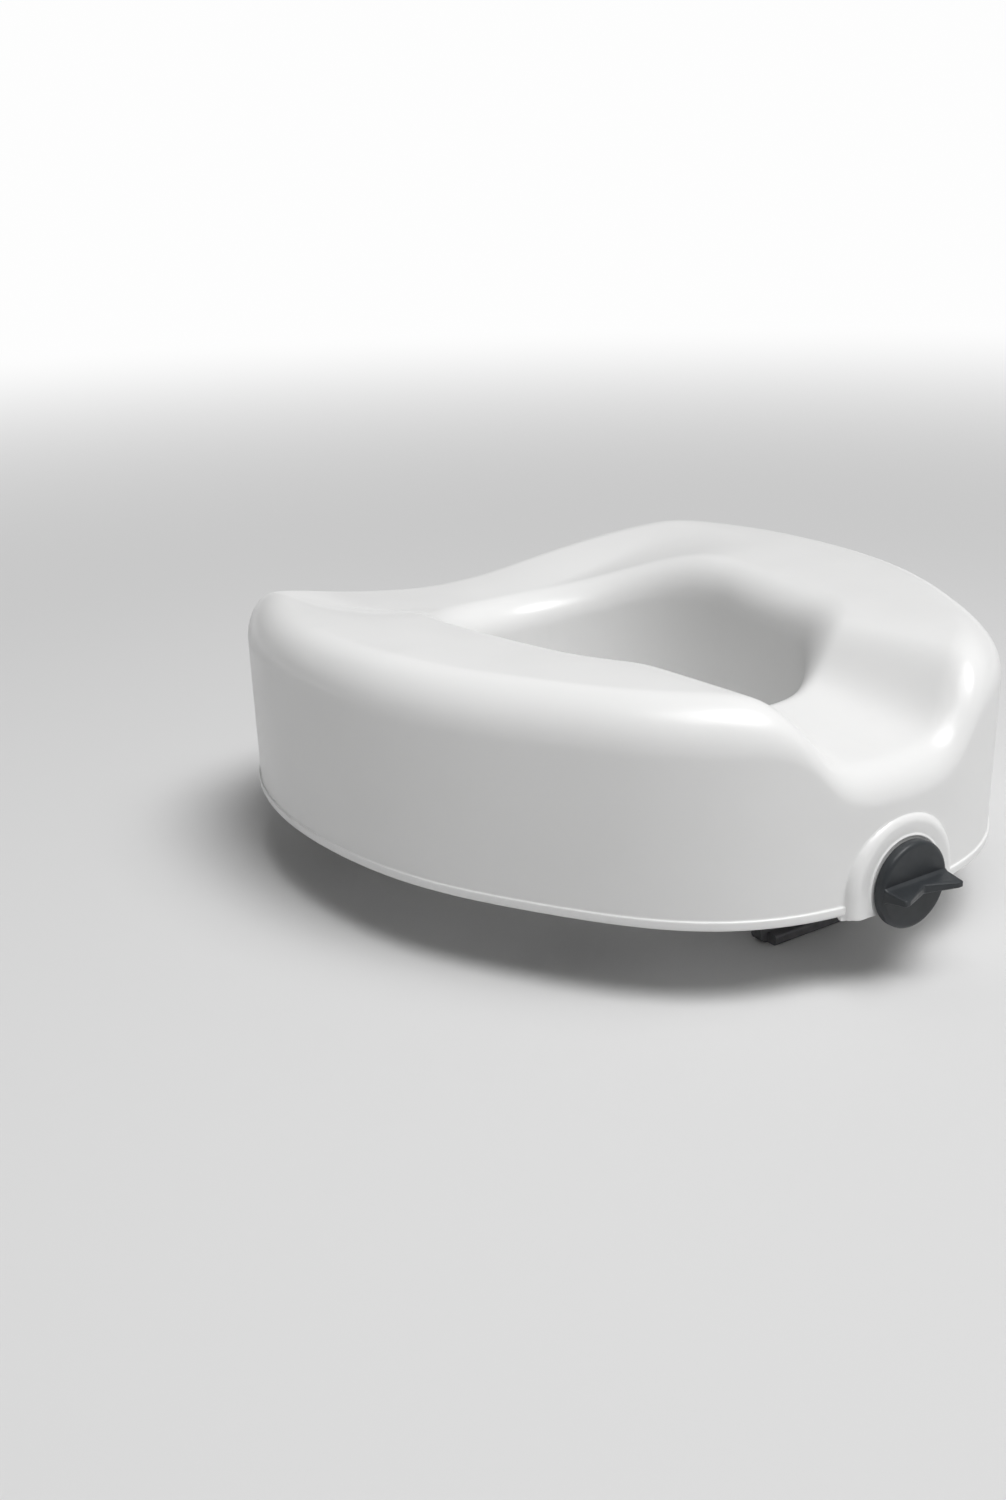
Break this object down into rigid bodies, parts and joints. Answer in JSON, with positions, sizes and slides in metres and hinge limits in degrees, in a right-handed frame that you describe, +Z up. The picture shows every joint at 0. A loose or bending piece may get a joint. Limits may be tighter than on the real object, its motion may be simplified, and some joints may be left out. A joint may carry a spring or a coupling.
{
  "type": "raised toilet seat",
  "caption": "Hollow moulded toilet seat riser with a scooped front, an egg-shaped opening and a front knob that clamps it to the bowl's rim.",
  "frame": {"origin": "on the plane of the toilet bowl's rim that the rest pads stand on, in the middle of the seat, on its plane of symmetry", "axes": "+Z up, +Y towards the back of the toilet, +X to the right of someone facing the tank; the lock knob faces -Y"},
  "size_m": [0.4228, 0.4871, 0.167],
  "materials": {
    "seat_body": "glossy white polyethylene moulding with a faint orange peel",
    "front_bushing": "smooth grey acetal",
    "thrust_washer_front": "zinc-plated steel",
    "thrust_washer_rear": "zinc-plated steel",
    "lock_knob": "dark grey satin plastic",
    "knob_pin": "zinc-plated steel",
    "clamp_screw": "smooth grey acetal",
    "retaining_clip": "zinc-plated steel",
    "clamp_bracket": "grey glass-filled nylon",
    "clamp_pad": "dark rubber",
    "clamp_rivets": "zinc-plated steel",
    "guide_plate": "satin white plastic",
    "guide_screws": "zinc-plated steel",
    "rest_pad_front_left": "dark rubber",
    "rest_pad_front_right": "dark rubber",
    "rest_pad_rear_left": "dark rubber",
    "rest_pad_rear_right": "dark rubber",
    "rear_hook_left": "grey glass-filled nylon",
    "rear_hook_right": "grey glass-filled nylon",
    "hook_pad_left": "dark rubber",
    "hook_pad_right": "dark rubber",
    "hook_screws": "zinc-plated steel",
    "vent_plug": "satin white plastic"
  },
  "bodies": {
    "seat": {"seat_body": "seat_body", "front_bushing": "front_bushing", "thrust_washer_front": "thrust_washer_front", "thrust_washer_rear": "thrust_washer_rear", "guide_plate": "guide_plate", "guide_screws": "guide_screws", "rest_pad_front_left": "rest_pad_front_left", "rest_pad_front_right": "rest_pad_front_right", "rest_pad_rear_left": "rest_pad_rear_left", "rest_pad_rear_right": "rest_pad_rear_right", "rear_hook_left": "rear_hook_left", "rear_hook_right": "rear_hook_right", "hook_pad_left": "hook_pad_left", "hook_pad_right": "hook_pad_right", "hook_screws": "hook_screws", "vent_plug": "vent_plug"},
    "lock_screw": {"lock_knob": "lock_knob", "knob_pin": "knob_pin", "clamp_screw": "clamp_screw", "retaining_clip": "retaining_clip"},
    "clamp": {"clamp_bracket": "clamp_bracket", "clamp_pad": "clamp_pad", "clamp_rivets": "clamp_rivets"}
  },
  "joints": [
    {"name": "lock_knob_turn", "type": "hinge", "parent": "seat", "child": "lock_screw", "pos_m": [0, -0.2301, 0.0155], "axis": [0, -1, 0], "range_deg": [0, 1440]},
    {"name": "clamp_slide", "type": "slide", "parent": "seat", "child": "clamp", "axis": [0, 1, 0], "range_m": [0, 0.0241]}
  ],
  "couplings": [
    {"joint": "clamp_slide", "follows": "lock_knob_turn", "m_per_rad": 0.00095493}
  ]
}
